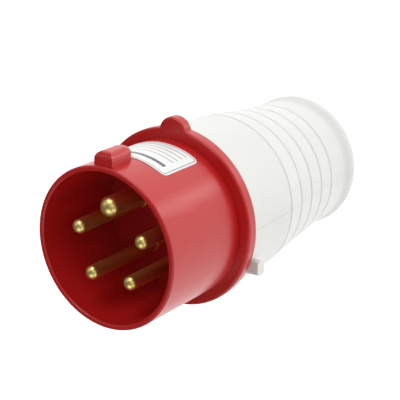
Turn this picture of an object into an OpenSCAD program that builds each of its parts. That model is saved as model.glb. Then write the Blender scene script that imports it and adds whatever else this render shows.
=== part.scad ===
// Five-pole industrial pin and sleeve plug for a cable, standing on its tail with its pins up.
// Millimetres. z = 0 is the outer face of the gland nut, where the cable goes in, and the plug's
// axis is Z. The key, the cover lug and the label are on the -Y side. Angles run from +X to +Y.

/* [Overall] */
// Whole length, from the tail face to the rim of the shroud
overall_len = 127.5; // [122:0.5:150]
// Direction of the key, the lug and the earth pin
key_angle = 270; // [0:15:345]

/* [Shroud] */
// Outer diameter of the shroud
shroud_d = 57; // [55:0.5:60]
// Wall of the shroud
shroud_wall = 2; // [1.7:0.1:2.6]
// Length of the shroud in front of the flange
shroud_len = 38; // [35:1:42]
// Depth of the socket, from the rim to the face that the pins stand on
socket_depth = 37; // [33:1:40]
// Rounding of the rim's two edges
rim_round = 0.7; // [0.3:0.1:0.8]

/* [Key] */
// Width of the key rib
key_w = 7.5; // [6:0.5:9]
// Length of the key rib along the shroud
key_len = 12.4; // [9:0.2:14]
// How far the key rib stands out of the shroud
key_h = 4.7; // [3:0.1:5.5]
// Distance from the rim to the nose of the key rib
key_setback = 0.9; // [0.3:0.1:1.5]
// Rounding of the rib's nose
key_nose = 2.4; // [1:0.2:2.8]
// Rounding of the rib's two long edges
key_round = 2.7; // [0.6:0.1:2.9]

/* [Flange] */
// Diameter of the flange
flange_d = 65.2; // [64:0.1:68]
// Thickness of the flange
flange_t = 4.6; // [4:0.2:6]
// Rounding of the flange's two edges
flange_round = 0.9; // [0.4:0.1:1.5]
// Width of the round lug that the coupler's cover hooks over
lug_w = 11.2; // [8:0.2:14]
// Height of the lug above the flange's edge
lug_h = 3.9; // [2:0.1:4.5]

/* [Pin carrier] */
// Thickness of the floor that carries the pins
carrier_t = 8.5; // [7:0.5:10]
// Length of the spigot behind the flange
spigot_len = 10; // [9:0.5:13]
// Wall of the spigot
spigot_wall = 2.4; // [2:0.1:3]
// Radial clearance between the spigot and the housing
spigot_gap = 0.3; // [0.2:0.05:0.4]

/* [Bayonet] */
// Number of bayonet studs
stud_count = 3; // [2:1:4]
// How far a stud stands out of the spigot
stud_h = 1.1; // [0.8:0.1:1.3]
// Length of a stud along the plug's axis
stud_len = 2.2; // [1.6:0.2:2.6]
// Angle that a stud covers
stud_span = 18; // [12:1:22]
// Angle that the housing turns to lock
lock_turn = 30; // [24:1:40]
// Clearance round a stud in its track
track_gap = 0.3; // [0.2:0.05:0.4]
// Extra depth of the straight slots that lead to the tracks
slot_relief = 0.1; // [0.05:0.05:0.2]
// Straight wall past the end of the track
track_floor = 2; // [1:0.5:3]

/* [Pins] */
// Radius of the circle that the pins stand on
pin_circle_r = 13.9; // [13.5:0.1:14.5]
// Diameter of a phase or neutral pin
pin_d = 5; // [4.8:0.1:5.4]
// Diameter of the earth pin
earth_d = 7; // [6.6:0.1:7.4]
// Depth of a phase or neutral pin's tip below the rim
pin_recess = 1.6; // [1:0.1:4]
// Depth of the earth pin's tip below the rim
earth_recess = 1; // [0.5:0.1:3]
// Height of a pin's domed tip, as a share of its radius
dome_share = 0.85; // [0.5:0.05:1]
// How much thicker a pin is in the carrier, on its radius
root_step = 0.3; // [0.2:0.05:0.6]
// Radial clearance between a pin and the carrier
pin_gap = 0.05; // [0.03:0.01:0.1]
// How far the shoulder stands out of the pin's root
shoulder_w = 1.6; // [1.2:0.1:2]
// Thickness of the shoulder
shoulder_t = 2; // [1.5:0.1:3]

/* [Terminals] */
// Wall of a terminal round its wire hole
terminal_wall = 2.1; // [1.8:0.1:2.4]
// Diameter of the wire hole in a phase or neutral terminal
wire_d = 3.8; // [3.2:0.1:4.2]
// Diameter of the wire hole in the earth terminal
earth_wire_d = 4.6; // [3.6:0.1:5]
// Length of a terminal behind the carrier
terminal_len = 15; // [13:0.5:18]
// Depth of the wire hole
wire_depth = 9.5; // [8:0.5:11]
// Distance from the terminal's end to its screw
terminal_screw_z = 4; // [3.4:0.2:5]
// Diameter of a terminal screw's thread
terminal_screw_d = 3; // [2.5:0.1:3.2]
// Diameter of a terminal screw's head
terminal_head_d = 5; // [4.4:0.2:5.6]
// Height of a terminal screw's head
terminal_head_h = 1.8; // [1.4:0.1:2.4]
// Space under the head of a terminal screw
terminal_head_gap = 0.8; // [0.4:0.1:1.2]
// How far a terminal screw reaches into the wire hole
terminal_screw_bite = 1; // [0.4:0.1:1.4]
// Radial clearance of every screw in its hole
screw_gap = 0.05; // [0.03:0.01:0.1]
// Width of a screwdriver slot
slot_w = 0.8; // [0.6:0.1:1]
// Depth of a screwdriver slot
slot_depth = 0.7; // [0.5:0.1:0.9]

/* [Pin retainer] */
// Diameter of the plate that holds the pins
retainer_d = 45; // [44:0.5:48]
// Thickness of the plate
retainer_t = 3; // [2.4:0.2:4]
// Radial clearance between a terminal and the plate
retainer_gap = 0.2; // [0.1:0.05:0.3]
// Diameter of the screw in the plate's middle
retainer_screw_d = 4; // [3.5:0.1:4.5]
// Diameter of that screw's head
retainer_head_d = 7.2; // [6.6:0.2:8]
// Height of that screw's head
retainer_head_h = 2.4; // [2:0.2:3]
// How deep that screw goes into the carrier
retainer_screw_depth = 6; // [4:0.5:6.5]
// Depth left in a hole past its screw's end
screw_spare = 0.4; // [0.2:0.1:0.5]

/* [Housing] */
// Diameter of the housing's mouth
mouth_d = 63.2; // [62.4:0.2:64]
// Wall of the mouth, which the bayonet track is cut in
mouth_wall = 3; // [2.7:0.1:3.2]
// Diameter at the shoulder, where the grip begins
shoulder_d = 60.5; // [58:0.1:61.5]
// Distance from the flange to the shoulder
shoulder_back = 26.6; // [24:0.2:30]
// Diameter of the waist
waist_d = 50.4; // [49:0.2:52]
// Height of the waist above the tail face
waist_h = 11.5; // [10:0.5:16]
// Diameter of the flared tail
flare_d = 52.4; // [51:0.2:55]
// Height of the widest part of the tail above the tail face
flare_h = 6; // [4:0.5:9]
// Diameter of the flat tail face
tail_d = 40; // [39:0.5:42]
// Wall of the housing
housing_wall = 2.6; // [2.2:0.1:3]
// How fast the grip narrows: 1 is a straight cone, more is hollow
grip_curve = 1.25; // [1:0.05:1.5]
// Number of rings cut round the grip
ring_count = 5; // [3:1:5]
// Distance from the last ring to the waist
ring_to_waist = 11.2; // [6:0.2:16]
// Depth of a ring
ring_depth = 0.45; // [0.3:0.05:0.6]
// Number of ribs between the housing and the gland tube
rib_count = 6; // [4:1:8]
// Thickness of a rib
rib_t = 1.8; // [1.4:0.1:2.2]
// Thickness of the tail under the hollow between its two walls
tail_floor = 7.5; // [6:0.5:8.5]

/* [Latch tab] */
// Angle from the key to the direction in which the tab stands out
tab_turn = 270; // [265:1:275]
// Distance from the tab's middle to the line through the plug's axis that it runs beside
tab_offset = 14.2; // [13:0.2:15]
// Width of the tab, round the plug
tab_w = 5.4; // [4.6:0.2:6.4]
// Thickness of the tab along the plug's axis
tab_t = 4.2; // [3:0.1:5]
// Rounding of the tab's long edges
tab_round = 1.3; // [0.5:0.1:1.4]
// Distance from the plug's axis to the plane of the tab's end
tab_reach = 32.5; // [31.5:0.1:35]
// Gap between the tab and the flange
tab_gap = 1.1; // [0.5:0.1:2]

/* [Locking screw] */
// Angle from the key to the locking screw
lock_screw_turn = 180; // [170:1:190]
// Diameter of the locking screw
lock_screw_d = 2.4; // [2:0.1:2.6]
// Wall between the gasket's seat and the locking screw
lock_wall = 0.6; // [0.4:0.1:1.2]
// How far the locking screw bites into the spigot
lock_screw_bite = 1.2; // [0.6:0.1:1.4]
// Depth of the locking screw below the housing's surface
lock_screw_sink = 0.3; // [0.2:0.1:0.6]

/* [Flange gasket] */
// Thickness of the gasket
gasket_t = 1.4; // [1.2:0.1:1.8]
// Width of the gasket, from its inner to its outer edge
gasket_w = 1.3; // [1:0.1:1.5]
// Clearance round the gasket
gasket_gap = 0.15; // [0.1:0.05:0.2]

/* [Label] */
// Angle that the label covers
label_span = 63; // [50:1:80]
// Height of the label along the shroud
label_h = 19.4; // [15:0.2:20]
// Distance from the key's end to the label
label_gap = 0.4; // [0.3:0.1:3]
// Thickness of the label
label_t = 0.15; // [0.1:0.05:0.25]
// Thickness of the glue under the label
glue_t = 0.03; // [0.02:0.01:0.06]
// Rounding of the label's corners
label_round = 2; // [1:0.2:3]

/* [Cable gland] */
// Diameter of the gland nut's thread
nut_d = 33.8; // [32:0.2:34.4]
// Length of the gland nut
nut_len = 8; // [7:0.5:9]
// Depth of the nut below the tail face
nut_recess = 1.5; // [1:0.1:3]
// Radial clearance of the nut in the housing
nut_gap = 0.1; // [0.08:0.01:0.15]
// Diameter of the hole for the cable
cable_d = 16; // [14:0.5:17]
// Number of spanner notches in the nut
notch_count = 6; // [4:2:8]
// Width of a notch
notch_w = 4.5; // [3.5:0.5:6]
// Depth of a notch, inwards from the nut's edge
notch_in = 3.4; // [2.5:0.1:4]
// Height of a notch along the plug's axis
notch_h = 4; // [3:0.5:5]
// How far the nut can be screwed in
gland_travel = 3; // [2:0.5:4]
// Spare thread past the nut when it is fully in
thread_spare = 1; // [0.5:0.5:2]
// Thickness of the thrust ring
ring_t = 1.5; // [1.2:0.1:2]
// Length of the rubber seal
seal_len = 15; // [12:0.5:17]
// Wall of the rubber seal
seal_wall = 4.7; // [4:0.1:5]
// Radial clearance of the seal and the ring in their pocket
pocket_gap = 0.3; // [0.25:0.05:0.4]
// Extra radius of the ring's and the seal's hole over the nut's
bore_step = 0.2; // [0.1:0.05:0.4]
// Clearance between faces that press on each other when the gland is tight
press_gap = 0.1; // [0.05:0.05:0.2]
// Thickness of the web that the seal is pressed against
web_t = 3; // [2.4:0.2:4]
// Wall of the tubes that hold the nut and the seal
tube_wall = 2.4; // [2:0.1:2.8]

/* [Hidden] */

// Facets round a large and a small circle
fine = 120;
small = 48;
// Cuts run this far past a face
over = 1;
// Steps along a small rounding, a pin's dome and a long curve
round_steps = 5;
dome_steps = 8;
curve_steps = 12;
pole_turn = 360 / 5;

// Heights, counted down from the rim
z_tail = -nut_recess;
z_rim = z_tail + overall_len;
z_floor = z_rim - socket_depth;
z_flange_front = z_rim - shroud_len;
z_flange_back = z_flange_front - flange_t;
z_carrier_back = z_floor - carrier_t;
z_spigot_end = z_flange_back - spigot_len;
z_terminal_end = z_carrier_back - terminal_len;
z_shoulder = z_flange_back - shoulder_back;
z_waist = z_tail + waist_h;
z_flare = z_tail + flare_h;
ring_pitch = (z_shoulder - z_waist - ring_to_waist) / (ring_count - 1);
// Heights, counted up from the gland nut
z_ring = nut_len + press_gap;
z_seal = z_ring + ring_t + press_gap;
z_web = z_seal + seal_len + press_gap;
z_web_top = z_web + web_t;
z_seat = nut_len + gland_travel + thread_spare;

// Radii
shroud_r = shroud_d / 2;
socket_r = shroud_r - shroud_wall;
flange_r = flange_d / 2;
mouth_r = mouth_d / 2;
shoulder_r = shoulder_d / 2;
waist_r = waist_d / 2;
flare_r = flare_d / 2;
tail_r = tail_d / 2;
seat_r = mouth_r - mouth_wall;
spigot_r = seat_r - spigot_gap;
gasket_seat_r = spigot_r + gasket_w + 2 * gasket_gap;
gasket_seat_depth = gasket_t + 2 * gasket_gap;
// The latch tab starts inside the wall of the housing's mouth
tab_root_r = (gasket_seat_r + mouth_r) / 2;
z_tab = z_flange_back - tab_gap - tab_t / 2;
z_lock_screw = z_flange_back - gasket_seat_depth - lock_wall - lock_screw_d / 2;
chamber_r = spigot_r - spigot_wall;
track_r = spigot_r + stud_h + track_gap;
thread_r = nut_d / 2 + nut_gap;
cable_r = cable_d / 2;
hole_r = cable_r + bore_step;
seal_r = hole_r + seal_wall;
pocket_r = seal_r + pocket_gap;
nut_tube_r = thread_r + tube_wall;
seal_tube_r = pocket_r + tube_wall;
// Radial gap between a terminal screw's tip and the terminal's axis
function screw_tip(hole_d) = hole_d / 2 - terminal_screw_bite;
// Depth of the bayonet track below the flange, and of the straight wall that it is cut in
track_low = spigot_len + track_gap;
track_high = spigot_len - stud_len - track_gap;
seat_depth = track_low + track_floor;
// The space between the two walls of the tail starts here
z_double_wall = z_tail + tail_floor;

function arc(r, z, radius, from, to, steps) =
  [for (i = [0:steps]) let (a = from + (to - from) * i / steps)
    [r + radius * cos(a), z + radius * sin(a)]];

// The housing's outline, from its mouth to its tail face
function grip_r(t) = waist_r + (shoulder_r - waist_r) * pow(1 - t, grip_curve);
function waist_to_flare_r(t) = waist_r + (flare_r - waist_r) * (1 - cos(180 * t)) / 2;
grip_outline = [for (i = [0:curve_steps]) let (t = i / curve_steps)
  [grip_r(t), z_shoulder + (z_waist - z_shoulder) * t]];
flare_outline = [for (i = [1:round_steps]) let (t = i / round_steps)
  [waist_to_flare_r(t), z_waist + (z_flare - z_waist) * t]];
tail_outline = [for (i = [1:curve_steps]) let (a = 90 * i / curve_steps)
  [tail_r + (flare_r - tail_r) * cos(a), z_flare - flare_h * sin(a)]];
housing_outline = concat([[mouth_r, z_flange_back]], grip_outline, flare_outline, tail_outline);

// The housing's radius at a height between the flange and the waist
function outer_r(z) =
  z >= z_shoulder ? shoulder_r + (mouth_r - shoulder_r) * (z - z_shoulder) / shoulder_back
  : grip_r((z_shoulder - z) / (z_shoulder - z_waist));
function inner_point(z) = [outer_r(z) - housing_wall, z];
lock_screw_len = outer_r(z_lock_screw) - lock_screw_sink - spigot_r + lock_screw_bite;

module at_angle(turn) {
  rotate([0, 0, key_angle + turn]) children();
}

module ring_solid(inner, outer, z, h, facets = fine) {
  translate([0, 0, z]) difference() {
    cylinder(h = h, r = outer, $fn = facets);
    translate([0, 0, -over]) cylinder(h = h + 2 * over, r = inner, $fn = facets);
  }
}

module sector_ring(inner, outer, z, h, middle, span) {
  translate([0, 0, z]) rotate([0, 0, middle - span / 2])
    rotate_extrude(angle = span, $fn = fine)
      translate([inner, 0]) square([outer - inner, h]);
}

// A slotted screw along +X, with the underside of its head at x = 0
module slotted_screw(d, len, head_d, head_h) {
  rotate([0, 90, 0]) difference() {
    union() {
      translate([0, 0, -len]) cylinder(h = len + head_h / 2, d = d, $fn = small);
      cylinder(h = head_h, d = head_d, $fn = small);
    }
    translate([-head_d, -slot_w / 2, head_h - slot_depth]) cube([2 * head_d, slot_w, head_h]);
  }
}

// ---------------------------------------------------------------- front body

module front_outline() {
  polygon(concat(
    [[0, z_carrier_back], [chamber_r, z_carrier_back], [chamber_r, z_spigot_end],
     [spigot_r, z_spigot_end], [spigot_r, z_flange_back]],
    arc(flange_r - flange_round, z_flange_back + flange_round, flange_round, -90, 0, round_steps),
    arc(flange_r - flange_round, z_flange_front - flange_round, flange_round, 0, 90, round_steps),
    [[shroud_r, z_flange_front]],
    arc(shroud_r - rim_round, z_rim - rim_round, rim_round, 0, 90, round_steps),
    arc(socket_r + rim_round, z_rim - rim_round, rim_round, 90, 180, round_steps),
    [[socket_r, z_floor], [0, z_floor]]));
}

// The rib's section runs along the shroud and turns round the rib's rear end, and the outline of
// its nose, seen from the side, cuts it
module key_rib() {
  top = shroud_r + key_h;
  root = shroud_r - shroud_wall / 2;
  half_w = key_w / 2;
  z_nose = z_rim - key_setback;
  z_rear = z_nose - key_len;
  edge = arc(half_w - key_round, top - key_round, key_round, 0, 90, round_steps);
  mirrored_edge = [for (i = [round_steps:-1:0]) [-edge[i].x, edge[i].y]];
  intersection() {
    union() {
      translate([0, 0, z_rear + half_w]) rotate([0, 0, -90]) linear_extrude(key_len - half_w)
        polygon(concat([[-half_w, root], [half_w, root]], edge, mirrored_edge));
      translate([0, 0, z_rear + half_w]) rotate([0, 90, 0]) rotate([0, 0, -90])
        rotate_extrude(angle = 180, $fn = small)
          polygon(concat([[0, root], [half_w, root]], edge, [[0, top]]));
    }
    translate([0, key_w, 0]) rotate([90, 0, 0]) linear_extrude(2 * key_w)
      polygon(concat(
        [[root - over, z_rear - over], [top + over, z_rear - over], [top + over, z_nose - key_nose]],
        arc(top - key_nose, z_nose - key_nose, key_nose, 0, 90, round_steps),
        [[root - over, z_nose]]));
  }
}

// A disc with the flange's own edges, standing in the flange
module cover_lug() {
  edge_r = lug_w / 2 - flange_round;
  translate([flange_r + lug_h - lug_w / 2, 0, 0]) rotate_extrude($fn = small)
    polygon(concat(
      [[0, z_flange_back]],
      arc(edge_r, z_flange_back + flange_round, flange_round, -90, 0, round_steps),
      arc(edge_r, z_flange_front - flange_round, flange_round, 0, 90, round_steps),
      [[0, z_flange_front]]));
}

// Moves to the locking screw's outer end, from where the screw goes inwards along -X
module at_lock_screw() {
  at_angle(lock_screw_turn)
    translate([outer_r(z_lock_screw) - lock_screw_sink, 0, z_lock_screw]) children();
}

// The locking screw's hole, through the housing's mouth and into the spigot
module lock_screw_hole() {
  at_lock_screw() translate([-lock_screw_len - screw_spare, 0, 0]) rotate([0, 90, 0])
    cylinder(h = lock_screw_len + screw_spare + lock_screw_sink + over,
      d = lock_screw_d + 2 * screw_gap, $fn = small);
}

module pin_bore(d) {
  root_r = d / 2 + root_step + pin_gap;
  translate([pin_circle_r, 0, z_carrier_back - over])
    cylinder(h = carrier_t + 2 * over, r = root_r, $fn = small);
  translate([pin_circle_r, 0, z_carrier_back - over])
    cylinder(h = shoulder_t + pin_gap + over, r = root_r + shoulder_w, $fn = small);
}

module front_body() {
  color([0.80, 0.13, 0.12]) difference() {
    union() {
      rotate_extrude($fn = fine) front_outline();
      at_angle(0) key_rib();
      at_angle(0) cover_lug();
      for (i = [0:stud_count - 1])
        sector_ring(spigot_r - spigot_wall / 2, spigot_r + stud_h, z_spigot_end, stud_len,
          key_angle + i * 360 / stud_count, stud_span);
    }
    at_angle(0) pin_bore(earth_d);
    for (k = [1:4]) at_angle(k * pole_turn) pin_bore(pin_d);
    translate([0, 0, z_carrier_back - over])
      cylinder(h = retainer_screw_depth + screw_spare + over, d = retainer_screw_d + 2 * screw_gap,
        $fn = small);
    lock_screw_hole();
  }
}

// ---------------------------------------------------------------- pins and terminals

// A turned pin with its shoulder and its terminal, in its place on the +X side
module contact_pin(d, recess, hole_d) {
  r = d / 2;
  dome = r * dome_share;
  root_r = r + root_step;
  terminal_r = hole_d / 2 + terminal_wall;
  z_tip = z_rim - recess;
  z_shoulder_top = z_carrier_back + shoulder_t;
  color([0.83, 0.68, 0.33]) translate([pin_circle_r, 0, 0]) difference() {
    rotate_extrude($fn = small) polygon(concat(
      [[0, z_terminal_end], [terminal_r, z_terminal_end], [terminal_r, z_carrier_back],
       [root_r + shoulder_w - pin_gap, z_carrier_back], [root_r + shoulder_w - pin_gap, z_shoulder_top],
       [root_r, z_shoulder_top], [root_r, z_floor], [r, z_floor]],
      [for (i = [0:dome_steps - 1]) let (a = 90 * i / dome_steps)
        [r * cos(a), z_tip - dome + dome * sin(a)]],
      [[0, z_tip]]));
    translate([0, 0, z_terminal_end - over])
      cylinder(h = wire_depth + over, d = hole_d, $fn = small);
    translate([0, 0, z_terminal_end + terminal_screw_z]) rotate([0, 90, 0])
      cylinder(h = terminal_r + over, d = terminal_screw_d + 2 * screw_gap, $fn = small);
  }
}

module terminal_screw(hole_d) {
  terminal_r = hole_d / 2 + terminal_wall;
  head_x = terminal_r + terminal_head_gap;
  color([0.72, 0.72, 0.70]) translate([pin_circle_r + head_x, 0, z_terminal_end + terminal_screw_z])
    slotted_screw(terminal_screw_d, head_x - screw_tip(hole_d), terminal_head_d, terminal_head_h);
}

module earth_pin() { contact_pin_at(0); }
module phase_pin_1() { contact_pin_at(1); }
module phase_pin_2() { contact_pin_at(2); }
module phase_pin_3() { contact_pin_at(3); }
module neutral_pin() { contact_pin_at(4); }

module contact_pin_at(k) {
  at_angle(k * pole_turn)
    if (k == 0) contact_pin(earth_d, earth_recess, earth_wire_d);
    else contact_pin(pin_d, pin_recess, wire_d);
}

module earth_terminal_screw() { at_angle(0) terminal_screw(earth_wire_d); }
module phase_terminal_screw_1() { at_angle(pole_turn) terminal_screw(wire_d); }
module phase_terminal_screw_2() { at_angle(2 * pole_turn) terminal_screw(wire_d); }
module phase_terminal_screw_3() { at_angle(3 * pole_turn) terminal_screw(wire_d); }
module neutral_terminal_screw() { at_angle(4 * pole_turn) terminal_screw(wire_d); }

module terminal_clearance(hole_d) {
  translate([pin_circle_r, 0, z_carrier_back - retainer_t - over])
    cylinder(h = retainer_t + 2 * over, r = hole_d / 2 + terminal_wall + retainer_gap, $fn = small);
}

// The plate that keeps the pins' shoulders in the carrier
module pin_retainer() {
  color([0.82, 0.82, 0.78]) difference() {
    translate([0, 0, z_carrier_back - retainer_t])
      cylinder(h = retainer_t, d = retainer_d, $fn = fine);
    at_angle(0) terminal_clearance(earth_wire_d);
    for (k = [1:4]) at_angle(k * pole_turn) terminal_clearance(wire_d);
    translate([0, 0, z_carrier_back - retainer_t - over])
      cylinder(h = retainer_t + 2 * over, d = retainer_screw_d + 2 * screw_gap, $fn = small);
  }
}

module retainer_screw() {
  color([0.72, 0.72, 0.70]) translate([0, 0, z_carrier_back - retainer_t]) rotate([0, 90, 0])
    slotted_screw(retainer_screw_d, retainer_t + retainer_screw_depth, retainer_head_d,
      retainer_head_h);
}

// ---------------------------------------------------------------- housing

module flange_gasket() {
  color([0.15, 0.15, 0.15])
    ring_solid(spigot_r + gasket_gap, spigot_r + gasket_gap + gasket_w,
      z_flange_back - gasket_gap - gasket_t, gasket_t);
}

// The hollow that the terminals and the cable's cores lie in. It runs down round the gland tubes.
module housing_hollow() {
  z_seat_end = z_flange_back - seat_depth;
  rotate_extrude($fn = fine) polygon(concat(
    [[0, z_web_top], [seal_tube_r, z_web_top], [seal_tube_r, z_seat + tube_wall],
     [nut_tube_r, z_seat], [nut_tube_r, z_double_wall], [waist_r - housing_wall, z_double_wall]],
    [for (i = [curve_steps:-1:0]) inner_point(z_shoulder + (z_waist - z_shoulder) * i / curve_steps)],
    [inner_point(z_seat_end), [seat_r, z_seat_end], [seat_r, z_flange_back + over],
     [0, z_flange_back + over]]));
}

// Ribs that tie the gland tubes to the outer wall
module gland_ribs() {
  h = z_web_top - z_double_wall;
  for (i = [0:rib_count - 1])
    rotate([0, 0, key_angle + (i + 0.5) * 360 / rib_count])
      translate([seal_tube_r - tube_wall / 2, -rib_t / 2, z_double_wall - over])
        cube([waist_r - housing_wall / 2 - seal_tube_r + tube_wall / 2, rib_t, h + over]);
}

// A stud enters a straight slot, then turns under the wall that is left above the track
module bayonet_track(middle) {
  z_low = z_flange_back - track_low;
  stud_room = stud_span + 2 * asin(track_gap / spigot_r);
  sector_ring(spigot_r - over, track_r, z_low, track_low - track_high,
    middle + lock_turn / 2 - stud_room / 4, lock_turn + stud_room / 2);
  sector_ring(spigot_r - over, track_r + slot_relief, z_low - slot_relief,
    track_low + slot_relief + over, middle + lock_turn, stud_room);
}

// A bar with rounded edges, cut off inside the wall of the housing's mouth
module latch_tab() {
  bar_start = tab_root_r / 2;
  difference() {
    at_angle(tab_turn) translate([bar_start, -tab_offset, z_tab]) rotate([0, 90, 0])
      linear_extrude(tab_reach - bar_start) {
        square([tab_t - 2 * tab_round, tab_w], center = true);
        square([tab_t, tab_w - 2 * tab_round], center = true);
        for (x = [-1, 1], y = [-1, 1])
          translate([x * (tab_t / 2 - tab_round), y * (tab_w / 2 - tab_round)])
            circle(r = tab_round, $fn = small);
      }
    translate([0, 0, z_tab - tab_t]) cylinder(h = 2 * tab_t, r = tab_root_r, $fn = fine);
  }
}

module rear_housing() {
  color([0.94, 0.94, 0.92]) difference() {
    union() {
      difference() {
        rotate_extrude($fn = fine)
          polygon(concat([[0, z_flange_back]], housing_outline, [[0, z_tail]]));
        housing_hollow();
      }
      gland_ribs();
      latch_tab();
    }
    // Nut thread, seal pocket and cable hole
    translate([0, 0, z_tail - over])
      cylinder(h = z_seat - z_tail + over, r = thread_r, $fn = fine);
    cylinder(h = z_web, r = pocket_r, $fn = fine);
    cylinder(h = z_web_top + over, r = hole_r + bore_step, $fn = fine);
    // Seat of the gasket
    translate([0, 0, z_flange_back - gasket_seat_depth])
      cylinder(h = gasket_seat_depth + over, r = gasket_seat_r, $fn = fine);
    for (i = [0:stud_count - 1]) bayonet_track(key_angle + i * 360 / stud_count);
    // Rings round the grip
    for (i = [0:ring_count - 1]) let (z = z_shoulder - i * ring_pitch)
      rotate_extrude($fn = fine)
        translate([outer_r(z) + ring_depth / 2, z]) circle(r = 1.5 * ring_depth, $fn = small);
    lock_screw_hole();
  }
}

// A headless screw with a slot in its outer end
module locking_screw() {
  color([0.72, 0.72, 0.70]) at_lock_screw() rotate([0, 90, 0]) difference() {
    translate([0, 0, -lock_screw_len]) cylinder(h = lock_screw_len, d = lock_screw_d, $fn = small);
    translate([-lock_screw_d, -slot_w / 2, -slot_depth])
      cube([2 * lock_screw_d, slot_w, slot_depth + over]);
  }
}

// A thin sheet bent round the shroud, with rounded corners
module blank_label() {
  top = shroud_r + glue_t + label_t;
  half_w = top * sin(label_span / 2);
  z_top = z_rim - key_setback - key_len - label_gap;
  color([0.95, 0.95, 0.95]) at_angle(0) intersection() {
    ring_solid(shroud_r + glue_t, top, z_top - label_h - over, label_h + 2 * over);
    rotate([0, 90, 0]) linear_extrude(top + over) {
      translate([-z_top, -half_w + label_round]) square([label_h, 2 * (half_w - label_round)]);
      translate([-z_top + label_round, -half_w]) square([label_h - 2 * label_round, 2 * half_w]);
      for (x = [-z_top + label_round, -z_top + label_h - label_round], side = [-1, 1])
        translate([x, side * (half_w - label_round)]) circle(r = label_round, $fn = small);
    }
  }
}

// ---------------------------------------------------------------- cable gland

module cable_seal() {
  color([0.12, 0.12, 0.12]) ring_solid(hole_r, seal_r, z_seal, seal_len);
}

module thrust_ring() {
  color([0.72, 0.72, 0.70]) ring_solid(hole_r, seal_r, z_ring, ring_t);
}

module gland_nut() {
  color([0.90, 0.90, 0.88]) difference() {
    cylinder(h = nut_len, d = nut_d, $fn = fine);
    translate([0, 0, -over]) cylinder(h = nut_len + 2 * over, r = cable_r, $fn = fine);
    for (i = [0:notch_count - 1]) rotate([0, 0, key_angle + i * 360 / notch_count])
      translate([nut_d / 2 - notch_in, -notch_w / 2, -over])
        cube([notch_in + over, notch_w, notch_h + over]);
  }
}

front_body();
earth_pin();
phase_pin_1();
phase_pin_2();
phase_pin_3();
neutral_pin();
earth_terminal_screw();
phase_terminal_screw_1();
phase_terminal_screw_2();
phase_terminal_screw_3();
neutral_terminal_screw();
pin_retainer();
retainer_screw();
flange_gasket();
rear_housing();
locking_screw();
blank_label();
cable_seal();
thrust_ring();
gland_nut();
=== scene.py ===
# %% [markdown]
# # A red and white five-pin plug for workshops and building sites
# The plug stands on its tail with its pins up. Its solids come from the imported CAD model, which
# is loaded first and never changed. This lesson puts a camera, a floor and lamps round it, gives
# every piece the finish of its real material, and models what the solids leave plain: the ridges
# inside the rubber seal, the rounded gasket, the hairlines of the mould and the gate mark.

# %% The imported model
import math

import bpy
from mathutils import Matrix, Vector


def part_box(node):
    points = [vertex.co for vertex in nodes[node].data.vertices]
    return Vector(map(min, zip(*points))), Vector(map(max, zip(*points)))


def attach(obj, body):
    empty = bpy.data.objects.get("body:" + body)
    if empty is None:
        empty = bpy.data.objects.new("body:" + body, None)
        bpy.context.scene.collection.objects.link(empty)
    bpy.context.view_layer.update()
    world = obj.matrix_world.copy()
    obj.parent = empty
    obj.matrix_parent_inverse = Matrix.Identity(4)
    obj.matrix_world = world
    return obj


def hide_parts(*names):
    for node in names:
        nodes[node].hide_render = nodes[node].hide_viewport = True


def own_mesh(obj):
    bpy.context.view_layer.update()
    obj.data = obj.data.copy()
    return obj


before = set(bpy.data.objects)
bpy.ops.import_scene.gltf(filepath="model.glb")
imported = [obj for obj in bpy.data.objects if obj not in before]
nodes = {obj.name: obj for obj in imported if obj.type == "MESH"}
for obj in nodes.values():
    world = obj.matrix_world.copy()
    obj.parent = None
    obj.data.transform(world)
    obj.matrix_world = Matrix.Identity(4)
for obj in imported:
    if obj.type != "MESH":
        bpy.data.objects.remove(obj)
scene = bpy.context.scene
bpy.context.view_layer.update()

# %% [markdown]
# ## Camera
# A plug is best seen lying on its side, with the key on top and the pins towards us, because its
# outline, its key and its pins then show together. The model stands, so the camera could be
# turned by hand until the view fits. It is easier to place it as if the plug lay down, with X to
# the right, Y from the rim to the tail and Z up, and to turn the result into the standing frame.
# The long lens keeps the near rim from bulging, as it would in a close view.

# %% Directions of the lying plug
def standing(v):
    """Turns a direction given for the lying plug into the frame of the standing plug."""
    return Vector((-v[0], -v[2], -v[1]))


rim_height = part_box("front_body")[1].z
floor_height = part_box("rear_housing")[0].z
print("rim at", round(rim_height, 4), "m, floor at", round(floor_height, 4), "m")

# %% Camera
camera_turn, camera_lift, camera_roll = 35.25, 19.01, 0.01
camera_from_rim = (0.25636, -0.30771, 0.15476)
camera_lens = 116.95
sensor_width = 36

turn, lift, roll = (math.radians(angle) for angle in (camera_turn, camera_lift, camera_roll))
back = Vector((math.sin(turn) * math.cos(lift), -math.cos(turn) * math.cos(lift), math.sin(lift)))
level = Vector((math.cos(turn), math.sin(turn), 0))
upright = back.cross(level)
right = math.cos(roll) * level + math.sin(roll) * upright
up = math.cos(roll) * upright - math.sin(roll) * level
place = standing(camera_from_rim) + Vector((0, 0, rim_height))

bpy.ops.object.select_all(action="DESELECT")
bpy.ops.object.camera_add()
camera = bpy.context.object
camera.name = "camera"
camera.matrix_world = Matrix.Translation(place) @ Matrix(
    (standing(right), standing(up), standing(back))).transposed().to_4x4()
camera.data.lens = camera_lens
camera.data.sensor_width = sensor_width
scene.camera = camera
print("camera", round(place.length, 3), "m from the gland nut, lens", camera_lens, "mm")

# %% [markdown]
# ## Nodes and colours
# A finish is a small tree of nodes. Each node could be added and linked by hand in the shader
# editor, but in a script the same four lines would repeat for every one of them. So one helper
# adds a node with its settings and links. Colours are written as the hex codes of a paint chart,
# and a second helper turns them into the linear numbers that Blender mixes. The third works out
# the scale of a pattern from its real width, because Blender asks for patches in a metre.

# %% Helpers for nodes
mm = 0.001


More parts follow.
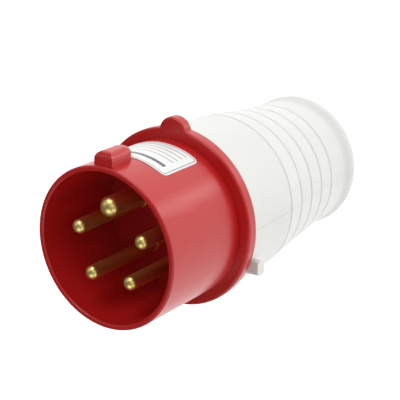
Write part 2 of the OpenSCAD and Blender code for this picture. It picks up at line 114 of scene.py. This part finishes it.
def add_node(tree, kind, inputs=None, **settings):
    """Adds a node, applies its settings, then fills its inputs with values or links."""
    node = tree.nodes.new(kind)
    for name, value in settings.items():
        setattr(node, name, value)
    for name, value in (inputs or {}).items():
        if isinstance(value, bpy.types.NodeSocket):
            tree.links.new(value, node.inputs[name])
        else:
            node.inputs[name].default_value = value
    return node


def linear(hex_colour):
    """#RRGGBB as four linear numbers."""
    parts = [int(hex_colour[i:i + 2], 16) / 255 for i in (1, 3, 5)]
    return [c / 12.92 if c <= 0.04045 else ((c + 0.055) / 1.055) ** 2.4 for c in parts] + [1]


def patches(width):
    """The scale of a pattern with patches that wide. 100 * mm / 6 means six in 100 mm."""
    return 1 / width

# %% [markdown]
# ## Materials
# Every finish begins and ends alike. It begins with the place on the piece, so that a pattern
# stays where it is when the piece moves, and ends with one shader joined to the output. Groups
# of nodes could hold what is shared, but two short functions are easier to read.

# %% Helpers for materials
def new_material(name):
    """An empty material, its tree, and the place on the piece that its patterns follow."""
    material = bpy.data.materials.new(name)
    material.use_nodes = True
    tree = material.node_tree
    tree.nodes.clear()
    print("material:", name)
    return material, tree, add_node(tree, "ShaderNodeTexCoord").outputs["Object"]


def finish(tree, **inputs):
    """Adds the shader of a material and joins it to the output."""
    names = {key.replace("_", " "): value for key, value in inputs.items()}
    shader = add_node(tree, "ShaderNodeBsdfPrincipled", names)
    add_node(tree, "ShaderNodeOutputMaterial", {"Surface": shader.outputs["BSDF"]})
    print("  made of", len(tree.nodes), "nodes")

# %% [markdown]
# ## Floor
# A product is shown on a white table that is brighter than the part, so that the table comes out
# pure white and gives the gloss a milky sheen. A white sheet under strong lamps would do that,
# but the lamps would also bleach the red. So the floor glows by itself, like a light table. It
# is wide enough to fill a low view as well.

# %% Floor
floor_size = 80
floor_glow = 0.84

bpy.ops.mesh.primitive_plane_add(size=floor_size, location=(0, 0, floor_height))
floor = bpy.context.object
floor.name = "white_floor"
floor_material, tree, spot = new_material("light table, white acrylic")
mottle = add_node(tree, "ShaderNodeTexNoise",
                  {"Vector": spot, "Scale": patches(1000 * mm / 3), "Detail": 2})
tone = add_node(tree, "ShaderNodeMix", {"Factor": mottle.outputs["Fac"],
                "A": linear("#FAFAFA"), "B": linear("#FFFFFF")}, data_type="RGBA")
finish(tree, Base_Color=tone.outputs["Result"], Emission_Color=tone.outputs["Result"],
       Emission_Strength=floor_glow, Roughness=0.6)
floor.data.materials.append(floor_material)

# %% [markdown]
# ## Room
# Pale walls send a little light back to every side, so that none is black. They could be built
# round the plug, but a plain white world does the same and never gets in the camera's way. The
# standard view keeps the hex colours as they are written.

# %% Room
room_fill = 0.12

world = bpy.data.worlds.new("white room")
scene.world = world
world.use_nodes = True
fill = world.node_tree.nodes["Background"]
fill.inputs["Color"].default_value = linear("#FFFFFF")
fill.inputs["Strength"].default_value = room_fill
scene.view_settings.view_transform = "Standard"
print(world.name, "with a fill of", room_fill)

# %% [markdown]
# ## Lamps
# Six square lamps stand on a sphere round the plug. A single strong lamp would be simpler, but
# the dark socket needs light from the front, and each pin's round tip shows the lamps as small
# mirrored patches, so they come from several sides. The lamp over the key is the strongest and
# gives the shadows their direction.

# %% Lamps
lamp_distance = 0.9
lamp_size = 0.5
lamp_target = Vector((0, 0, 0.07))


def aim(lamp, target):
    """Turns a lamp so that it shines at a place."""
    lamp.rotation_euler = (target - lamp.location).to_track_quat("-Z", "Y").to_euler()


def soft_lamp(name, around, above, power):
    """A square lamp that shines on the plug. The angles, in degrees, are as seen by the lying
    plug: around from its pins towards its right-hand side, and above the table."""
    around, above = math.radians(around), math.radians(above)
    bpy.ops.object.light_add(type="AREA")
    lamp = bpy.context.object
    lamp.name = name
    lamp.data.size = lamp_size
    lamp.data.energy = power
    lamp.location = lamp_target + lamp_distance * standing(
        (math.sin(around) * math.cos(above), -math.cos(around) * math.cos(above),
         math.sin(above)))
    aim(lamp, lamp_target)
    print(name, "at", [round(x, 2) for x in lamp.location], power, "W")


soft_lamp("lamp over the key", 0, 60, 3.1)
soft_lamp("lamp beside the camera", 40, 20, 0.8)
soft_lamp("lamp on the left", -40, 20, 0.55)
soft_lamp("lamp on the right", 80, 10, 0.4)
soft_lamp("bounce from the table", 60, -30, 1.2)
soft_lamp("bounce under the pins", 0, -40, 1.5)

# %% [markdown]
# ## A pool of light
# A glossy round moulding shows a pale streak where something bright is mirrored. The shroud
# mirrors the floor, which hides any lamp behind it, so a strip lamp there wouldn't help. Instead
# a narrow spot lamp throws a small pool of light on the floor, and the shroud mirrors the pool.

# %% Pool of light
pool_place = Vector((-88 * mm, -84 * mm, floor_height))
pool_to_lamp = Vector((-0.1, -0.1, 0.5))
pool_power = 50
pool_angle = math.radians(5)
bulb_radius = 10 * mm

bpy.ops.object.light_add(type="SPOT", location=pool_place + pool_to_lamp)
pool = bpy.context.object
pool.name = "pool of light on the table"
pool.data.energy = pool_power
pool.data.spot_size = pool_angle
pool.data.spot_blend = 1
pool.data.shadow_soft_size = bulb_radius
aim(pool, pool_place)
print(pool.name, "at", [round(x, 3) for x in pool_place])

# %% [markdown]
# ## Red polyamide
# The front body is polyamide, injection moulded in a polished tool. It is dyed through, so a
# worn edge keeps its colour, and it is glossy, with the slow waviness that a thick wall gets as
# it shrinks. The waves could be modelled, but they are far too shallow to change an outline, so
# a bump does it. One wide, weak noise tints the red, and one as wide as a fingertip bends the
# gloss.

# %% Red polyamide
red_polyamide, tree, spot = new_material("polyamide, dyed red, polished mould")
tint = add_node(tree, "ShaderNodeTexNoise",
                {"Vector": spot, "Scale": patches(100 * mm / 6), "Detail": 3})
red = add_node(tree, "ShaderNodeMix", {"Factor": tint.outputs["Fac"],
               "A": linear("#B9191A"), "B": linear("#C11C1B")}, data_type="RGBA")
shrinkage = add_node(tree, "ShaderNodeTexNoise",
                     {"Vector": spot, "Scale": patches(100 * mm / 11), "Detail": 1})
gloss = add_node(tree, "ShaderNodeMapRange", {"Value": tint.outputs["Fac"],
                 "To Min": 0.26, "To Max": 0.34})
skin = add_node(tree, "ShaderNodeBump", {"Height": shrinkage.outputs["Fac"],
                "Strength": 0.35, "Distance": 0.4 * mm})
finish(tree, Base_Color=red.outputs["Result"], Roughness=gloss.outputs["Result"],
       Normal=skin.outputs["Normal"], IOR=1.53)

# %% [markdown]
# ## White polyamide
# The housing and the gland nut are the same plastic with a white dye. Their tool was spark
# eroded, which leaves a fine, even grain that feels dry in the hand and spreads the light. The
# real grain is some 0.05 mm wide and would be lost from a step away, so it is drawn at 0.5 mm.
# Light enters white nylon and comes out about a millimetre on. A plain paint wouldn't do that,
# so the finish scatters light under its surface, which also softens the dark in the ring grooves.

# %% White polyamide
white_polyamide, tree, spot = new_material("polyamide, dyed white, spark-eroded mould")
tint = add_node(tree, "ShaderNodeTexNoise",
                {"Vector": spot, "Scale": patches(20 * mm), "Detail": 3})
white = add_node(tree, "ShaderNodeMix", {"Factor": tint.outputs["Fac"],
                 "A": linear("#DADBD7"), "B": linear("#E1E1DE")}, data_type="RGBA")
grain = add_node(tree, "ShaderNodeTexNoise",
                 {"Vector": spot, "Scale": patches(0.5 * mm), "Detail": 2})
dry_gloss = add_node(tree, "ShaderNodeMapRange", {"Value": grain.outputs["Fac"],
                     "To Min": 0.4, "To Max": 0.5})
skin = add_node(tree, "ShaderNodeBump", {"Height": grain.outputs["Fac"],
                "Strength": 0.08, "Distance": 0.05 * mm})
finish(tree, Base_Color=white.outputs["Result"], Roughness=dry_gloss.outputs["Result"],
       Normal=skin.outputs["Normal"], IOR=1.53, Subsurface_Weight=0.6,
       Subsurface_Radius=(1, 1, 1), Subsurface_Scale=1.2 * mm)

# %% [markdown]
# ## Turned brass
# The pins are turned from brass bar and tumbled to take the burrs off. The tool leaves fine
# rings round the pin, and tumbling softens them. Noise can't make such even rings, but a wave
# texture can. It runs along the pin and repeats every 0.314 divided by its scale, in metres. Real
# rings are nearer 0.15 mm apart and would be lost, so they are drawn as coarse as 0.45 mm.

# %% Turned brass
ring_spacing = 0.45 * mm
wave_length_at_scale_1 = 0.314

turned_brass, tree, spot = new_material("brass, turned and tumbled")
tint = add_node(tree, "ShaderNodeTexNoise",
                {"Vector": spot, "Scale": patches(100 * mm / 15), "Detail": 3})
brass = add_node(tree, "ShaderNodeMix", {"Factor": tint.outputs["Fac"],
                 "A": linear("#EBD37C"), "B": linear("#F7E496")}, data_type="RGBA")
tool_marks = add_node(tree, "ShaderNodeTexWave",
                      {"Vector": spot, "Scale": wave_length_at_scale_1 / ring_spacing,
                       "Distortion": 1, "Detail": 1}, bands_direction="Z")
marks = add_node(tree, "ShaderNodeBump", {"Height": tool_marks.outputs["Fac"],
                 "Strength": 0.06, "Distance": 0.05 * mm})
tumbled = add_node(tree, "ShaderNodeMapRange", {"Value": tint.outputs["Fac"],
                   "To Min": 0.34, "To Max": 0.42})
finish(tree, Base_Color=brass.outputs["Result"], Metallic=1, Roughness=tumbled.outputs["Result"],
       Normal=marks.outputs["Normal"])

# %% [markdown]
# ## Zinc-plated steel
# The screws are steel with a thin zinc plating. Zinc is paler and bluer than bare steel, and its
# small crystals make the gloss patchy. Noise is too soft for crystals, while Voronoi cells have
# the straight borders that crystals have. The real ones are too fine to see, so each is drawn
# 0.4 mm wide.

# %% Zinc-plated steel
plated_steel, tree, spot = new_material("steel, zinc plated")
crystals = add_node(tree, "ShaderNodeTexVoronoi", {"Vector": spot, "Scale": patches(0.4 * mm)})
zinc = add_node(tree, "ShaderNodeMix", {"Factor": crystals.outputs["Distance"],
                "A": linear("#C9CDD0"), "B": linear("#B4B9BE")}, data_type="RGBA")
crystal_gloss = add_node(tree, "ShaderNodeMapRange", {"Value": crystals.outputs["Distance"],
                         "To Min": 0.24, "To Max": 0.42})
finish(tree, Base_Color=zinc.outputs["Result"], Metallic=1,
       Roughness=crystal_gloss.outputs["Result"])

# %% [markdown]
# ## Nylon
# The plate behind the pins and the thrust ring are moulded nylon without dye. It is a warm,
# slightly cloudy off-white, and the plate is a little greyer. Two separate trees would be nearly
# the same, so one function makes both from their colours.

# %% Nylon
def plain_nylon(name, pale, dark, roughness):
    """Undyed nylon: two close tones in soft clouds."""
    material, tree, spot = new_material(name)
    clouds = add_node(tree, "ShaderNodeTexNoise",
                      {"Vector": spot, "Scale": patches(100 * mm / 13), "Detail": 4})
    tone = add_node(tree, "ShaderNodeMix", {"Factor": clouds.outputs["Fac"],
                    "A": linear(pale), "B": linear(dark)}, data_type="RGBA")
    skin = add_node(tree, "ShaderNodeBump", {"Height": clouds.outputs["Fac"],
                    "Strength": 0.1, "Distance": 0.2 * mm})
    finish(tree, Base_Color=tone.outputs["Result"], Roughness=roughness,
           Normal=skin.outputs["Normal"], IOR=1.53)
    return material


plate_nylon = plain_nylon("nylon, grey, moulded", "#D6D6D0", "#C8C8C1", 0.5)
washer_nylon = plain_nylon("nylon, undyed, moulded", "#D9D7CE", "#C9C6BA", 0.4)

# %% [markdown]
# ## Black rubber
# The seal and the gasket are black rubber, dusted with talc so that they don't stick to their
# mould or to each other. A plain black would look like paint. A grey bloom in patches of a few
# millimetres, matt where the talc lies, makes it rubber.

# %% Black rubber
black_rubber, tree, spot = new_material("rubber, black, moulded and talced")
bloom = add_node(tree, "ShaderNodeTexNoise",
                 {"Vector": spot, "Scale": patches(10 * mm / 3), "Detail": 5})
rubber = add_node(tree, "ShaderNodeMix", {"Factor": bloom.outputs["Fac"],
                  "A": linear("#151515"), "B": linear("#2B2B2A")}, data_type="RGBA")
matt = add_node(tree, "ShaderNodeMapRange", {"Value": bloom.outputs["Fac"],
                "To Min": 0.6, "To Max": 0.85})
skin = add_node(tree, "ShaderNodeBump", {"Height": bloom.outputs["Fac"],
                "Strength": 0.15, "Distance": 0.1 * mm})
finish(tree, Base_Color=rubber.outputs["Result"], Roughness=matt.outputs["Result"],
       Normal=skin.outputs["Normal"], IOR=1.52)

# %% [markdown]
# ## Label film
# The label is white polyester film. It has no lettering and carries only what a blank form has:
# a thin border, one thick rule and four thin ones to write on. The lines could be thin raised
# strips, but print has no height, so it belongs in the finish. First every place on the label
# gets its distances from the middle. The run along the shroud is the angle round the axis times
# the radius, and the angle counts from -Y, where the label is stuck.

# %% Places on the label
label_low, label_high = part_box("blank_label")
label_radius = -label_low.y
label_middle = (label_low.z + label_high.z) / 2
half_run = label_radius * math.asin(label_high.x / label_radius)
half_height = (label_high.z - label_low.z) / 2

label_film, tree, spot = new_material("polyester film, white, printed form")
axes = add_node(tree, "ShaderNodeSeparateXYZ", {"Vector": spot}).outputs
forward = add_node(tree, "ShaderNodeMath", {0: axes["Y"], 1: -1}, operation="MULTIPLY")
angle = add_node(tree, "ShaderNodeMath", {0: axes["X"], 1: forward.outputs["Value"]},
                 operation="ARCTAN2")
run = add_node(tree, "ShaderNodeMath", {0: angle.outputs["Value"], 1: label_radius},
               operation="MULTIPLY").outputs["Value"]
height = add_node(tree, "ShaderNodeMath", {0: axes["Z"], 1: label_middle},
                  operation="SUBTRACT").outputs["Value"]
print("label", round(2 * half_run / mm, 1), "by", round(2 * half_height / mm, 1), "mm")

# %% [markdown]
# ## Border and rules
# The border follows the rounded corners at a fixed distance from the edge. Four straight lines
# and four arcs would need eight tests. The corners are alike, so the label is folded twice into
# one corner, and the length past the corner's centre says how near the edge a place is. A rule
# is every place within half its width of its height, as far as the margins at both ends.

# %% Border and rules
corner = 2 * mm
border_inset, border_width = 0.8 * mm, 0.3 * mm
rule_margin = 3.5 * mm
thick_rule = (5.2 * mm, 1.6 * mm)
thin_rules = [(line * mm, 0.3 * mm) for line in (0.5, -2, -4.5, -7)]

flat = add_node(tree, "ShaderNodeCombineXYZ", {"X": run, "Y": height})
folded = add_node(tree, "ShaderNodeVectorMath", {0: flat.outputs["Vector"]}, operation="ABSOLUTE")
past = add_node(tree, "ShaderNodeVectorMath",
                {0: folded.outputs["Vector"], 1: (half_run - corner, half_height - corner, 0)},
                operation="SUBTRACT")
outside = add_node(tree, "ShaderNodeVectorMath", {0: past.outputs["Vector"], 1: (0, 0, 0)},
                   operation="MAXIMUM")
from_corner = add_node(tree, "ShaderNodeVectorMath", {0: outside.outputs["Vector"]},
                       operation="LENGTH")
ink = add_node(tree, "ShaderNodeMath",
               {0: from_corner.outputs["Value"], 1: corner - border_inset, 2: border_width / 2},
               operation="COMPARE")
within = add_node(tree, "ShaderNodeMath", {0: run, 1: 0.0, 2: half_run - rule_margin},
                  operation="COMPARE")
for line, width in [thick_rule] + thin_rules:
    band = add_node(tree, "ShaderNodeMath", {0: height, 1: line, 2: width / 2},
                    operation="COMPARE")
    rule = add_node(tree, "ShaderNodeMath",
                    {0: band.outputs["Value"], 1: within.outputs["Value"]}, operation="MULTIPLY")
    ink = add_node(tree, "ShaderNodeMath", {0: ink.outputs["Value"], 1: rule.outputs["Value"]},
                   operation="MAXIMUM")
print("border and", 1 + len(thin_rules), "rules")

# %% [markdown]
# ## Ink on the film
# Two flat colours would look like paper. Handled film has gone slightly uneven, so a fine noise
# shifts both its tone and its gloss, and the dark grey ink is laid over that.

# %% Ink on the film
wear = add_node(tree, "ShaderNodeTexNoise",
                {"Vector": spot, "Scale": patches(2.5 * mm), "Detail": 3})
film = add_node(tree, "ShaderNodeMix", {"Factor": wear.outputs["Fac"],
                "A": linear("#EDEEEC"), "B": linear("#E3E4E2")}, data_type="RGBA")
printed = add_node(tree, "ShaderNodeMix", {"Factor": ink.outputs["Value"],
                   "A": film.outputs["Result"], "B": linear("#55565A")}, data_type="RGBA")
satin = add_node(tree, "ShaderNodeMapRange", {"Value": wear.outputs["Fac"],
                 "To Min": 0.3, "To Max": 0.42})
finish(tree, Base_Color=printed.outputs["Result"], Roughness=satin.outputs["Result"], IOR=1.6)
print("ink on", label_film.name)

# %% [markdown]
# ## Putting the finishes on
# Every solid comes with one material slot, named after the kind of material in the record. The
# solids could be listed one by one, but a table from slot to finish is shorter, and it also
# covers a solid that is added later.

# %% Put the finishes on
finishes = {"red_moulding": red_polyamide, "white_moulding": white_polyamide,
            "nut_moulding": white_polyamide, "turned_brass": turned_brass,
            "plated_steel": plated_steel, "grey_nylon": plate_nylon,
            "washer_nylon": washer_nylon, "black_rubber": black_rubber,
            "label_film": label_film}
for piece in nodes.values():
    slot = piece.material_slots[0]
    slot.material = finishes[slot.material.name]
print(len(nodes), "solids have one of", len(finishes), "finishes")

# %% [markdown]
# ## Tools for new pieces
# A new piece is made as by hand: a primitive is added, shaped in edit mode, welded, turned with
# its faces outward and put on the body that carries it. Points are chosen by where they lie,
# because a script can't click on them. They are deselected first, since faces that stay selected
# would be worked on as well.

# %% Tools for new pieces
weld_distance = 0.001 * mm
smooth_angle = math.radians(40)


def start_piece(name):
    """Names the object that was just added, moves its place into its mesh and opens it."""
    piece = bpy.context.object
    piece.name = name
    bpy.ops.object.transform_apply()
    bpy.ops.object.mode_set(mode="EDIT")
    return piece


def select_points(piece, chosen):
    """Selects the points of the open mesh for which chosen(place) is true."""
    bpy.ops.mesh.select_all(action="DESELECT")
    bpy.ops.object.mode_set(mode="OBJECT")
    for point in piece.data.vertices:
        point.select = chosen(point.co)
    bpy.ops.object.mode_set(mode="EDIT")
    bpy.ops.mesh.select_mode(type="VERT")


def end_piece(piece, material, bevel_width=0):
    """Welds the open mesh, turns its faces outward, bevels its sharp edges and mounts it."""
    bpy.ops.mesh.select_all(action="SELECT")
    bpy.ops.mesh.remove_doubles(threshold=weld_distance)
    bpy.ops.mesh.normals_make_consistent(inside=False)
    bpy.ops.object.mode_set(mode="OBJECT")
    if bevel_width:
        bevel = piece.modifiers.new("bevel", "BEVEL")
        bevel.width = bevel_width
        bevel.segments = 3
        bevel.limit_method = "ANGLE"
        bpy.ops.object.modifier_apply(modifier=bevel.name)
    bpy.ops.object.shade_smooth_by_angle(angle=smooth_angle)
    piece.data.materials.append(material)
    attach(piece, "plug")
    print(piece.name, len(piece.data.polygons), "faces")

# %% [markdown]
# ## Tools for rings
# Both rubber pieces are rings. A ring could be cut from a cylinder, but a spun cross-section
# keeps every ridge exactly round. The section starts as an upright plane beside the axis. Its
# face is deleted before the spin, because it would be left standing inside the ring as a wall.

# %% Tools for rings
ring_steps = 96


def start_section(name, inner, outer, low, high):
    """The open outline of a ring's cross-section, upright beside the axis."""
    bpy.ops.object.select_all(action="DESELECT")
    bpy.ops.mesh.primitive_plane_add(size=1, rotation=(math.radians(90), 0, 0),
                                     location=((inner + outer) / 2, 0, (low + high) / 2))
    bpy.context.object.scale = (outer - inner, high - low, 1)
    piece = start_piece(name)
    bpy.ops.mesh.select_all(action="SELECT")
    bpy.ops.mesh.delete(type="ONLY_FACE")
    return piece


def spin_section():
    """Spins the open outline once round the plug's axis."""
    bpy.ops.mesh.select_all(action="SELECT")
    bpy.ops.mesh.spin(steps=ring_steps, angle=math.radians(360), center=(0, 0, 0),
                      axis=(0, 0, 1))

# %% [markdown]
# ## Ribbed cable seal
# The gland nut squeezes a rubber sleeve on the cable. Its bore has shallow ridges, so that it
# grips a thin cable as well as a thick one. A bump would look right from afar but leave the edge
# of the bore smooth, so the ridges are real. The outline is cut into rows, and every second pair
# of rows is pushed back into a groove before the spin. The bevel rounds the lips. When the nut
# is tightened, the sleeve stays against the floor of its seat.

# %% Ribbed cable seal
seal_low, seal_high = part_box("cable_seal")
bore_radius = 8.2 * mm
groove_depth = 0.6 * mm
lip_round = 0.2 * mm
rows = 12
row_height = (seal_high.z - seal_low.z) / rows

seal = start_section("ribbed_cable_seal", bore_radius, seal_high.x, seal_low.z, seal_high.z)
for row in range(1, rows):
    bpy.ops.mesh.select_all(action="SELECT")
    bpy.ops.mesh.bisect(plane_co=(0, 0, seal_low.z + row * row_height), plane_no=(0, 0, 1))
select_points(seal, lambda place: place.x < bore_radius + groove_depth / 2
              and round((place.z - seal_low.z) / row_height) % 4 > 1)
bpy.ops.transform.translate(value=(groove_depth, 0, 0))
spin_section()
end_piece(seal, black_rubber, bevel_width=lip_round)
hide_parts("cable_seal")
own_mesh(seal)

# %% [markdown]
# ## Flange gasket
# A rubber ring lies in the joint between the red body and the housing. It is a round cord,
# pressed flat where the two faces meet it. A torus has no flats, so a square section is spun and
# its corners are rounded until only narrow flats are left.

# %% Flange gasket
gasket_low, gasket_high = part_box("flange_gasket")
gasket_width = 1.3 * mm
corner_round = 0.4 * gasket_width

gasket = start_section("pressed_gasket", gasket_high.x - gasket_width, gasket_high.x,
                       gasket_low.z, gasket_high.z)
spin_section()
end_piece(gasket, black_rubber, bevel_width=corner_round)
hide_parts("flange_gasket")

# %% [markdown]
# ## Seams of the housing
# The grip rings would lock the housing in a one-piece mould, so its mould opens sideways and
# leaves a hairline along both flanks. The line has to follow every groove, which is tedious to
# draw by hand, so a strip with many rows is laid beside the housing and projected onto it. It
# gets a thickness of about a tenth of a millimetre, half of it sunk in, and is mirrored to the
# other flank.

# %% Seams of the housing
seam_width = 0.16 * mm
seam_thickness = 0.12 * mm
seam_end_gap = 1.5 * mm
seam_rows = 280
strip_distance = 10 * mm
housing_low, housing_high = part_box("rear_housing")
seam_low, seam_high = housing_low.z + seam_end_gap, housing_high.z - seam_end_gap

bpy.ops.object.select_all(action="DESELECT")
bpy.ops.mesh.primitive_grid_add(
    x_subdivisions=seam_rows, y_subdivisions=2, size=1, rotation=(0, math.radians(90), 0),
    location=(housing_high.x + strip_distance, 0, (seam_low + seam_high) / 2))
bpy.context.object.scale = (seam_high - seam_low, seam_width, 1)
seam = start_piece("housing_seams")
bpy.ops.object.mode_set(mode="OBJECT")
wrap = seam.modifiers.new("wrap", "SHRINKWRAP")
wrap.target = nodes["rear_housing"]
wrap.wrap_method = "PROJECT"
wrap.use_project_x = True
wrap.use_positive_direction = False
wrap.use_negative_direction = True
thicken = seam.modifiers.new("thicken", "SOLIDIFY")
thicken.thickness = seam_thickness
thicken.offset = 0
seam.modifiers.new("other flank", "MIRROR")
for modifier_name in seam.modifiers.keys():
    bpy.ops.object.modifier_apply(modifier=modifier_name)
bpy.ops.object.mode_set(mode="EDIT")
end_piece(seam, white_polyamide)

# %% [markdown]
# ## Gate mark
# The red plastic was injected in the middle of the socket floor. Where the sprue was cut off, a
# small round stub is left with a shallow ring on its face. Its height could be written down, but
# a ray sent down the axis finds the floor even if the socket gets deeper. The second thing that
# a ray cast gives is the place that it meets. A short cylinder is half sunk there, and its top
# is inset and pushed in and out.

# %% Gate mark
gate_radius = 1.4 * mm
gate_height = 0.3 * mm
gate_ring = 0.3 * mm
gate_round = gate_ring / 5
gate_place = nodes["front_body"].ray_cast((0, 0, rim_height), (0, 0, -1))[1]

bpy.ops.object.select_all(action="DESELECT")
bpy.ops.mesh.primitive_cylinder_add(
    vertices=32, radius=gate_radius, depth=2 * gate_height, location=gate_place)
gate = start_piece("gate_mark")
select_points(gate, lambda place: place.z > gate_place.z)
for depth in (0, -gate_height / 2, gate_height / 3):
    bpy.ops.mesh.inset(thickness=gate_ring, depth=depth)
end_piece(gate, red_polyamide, bevel_width=gate_round)
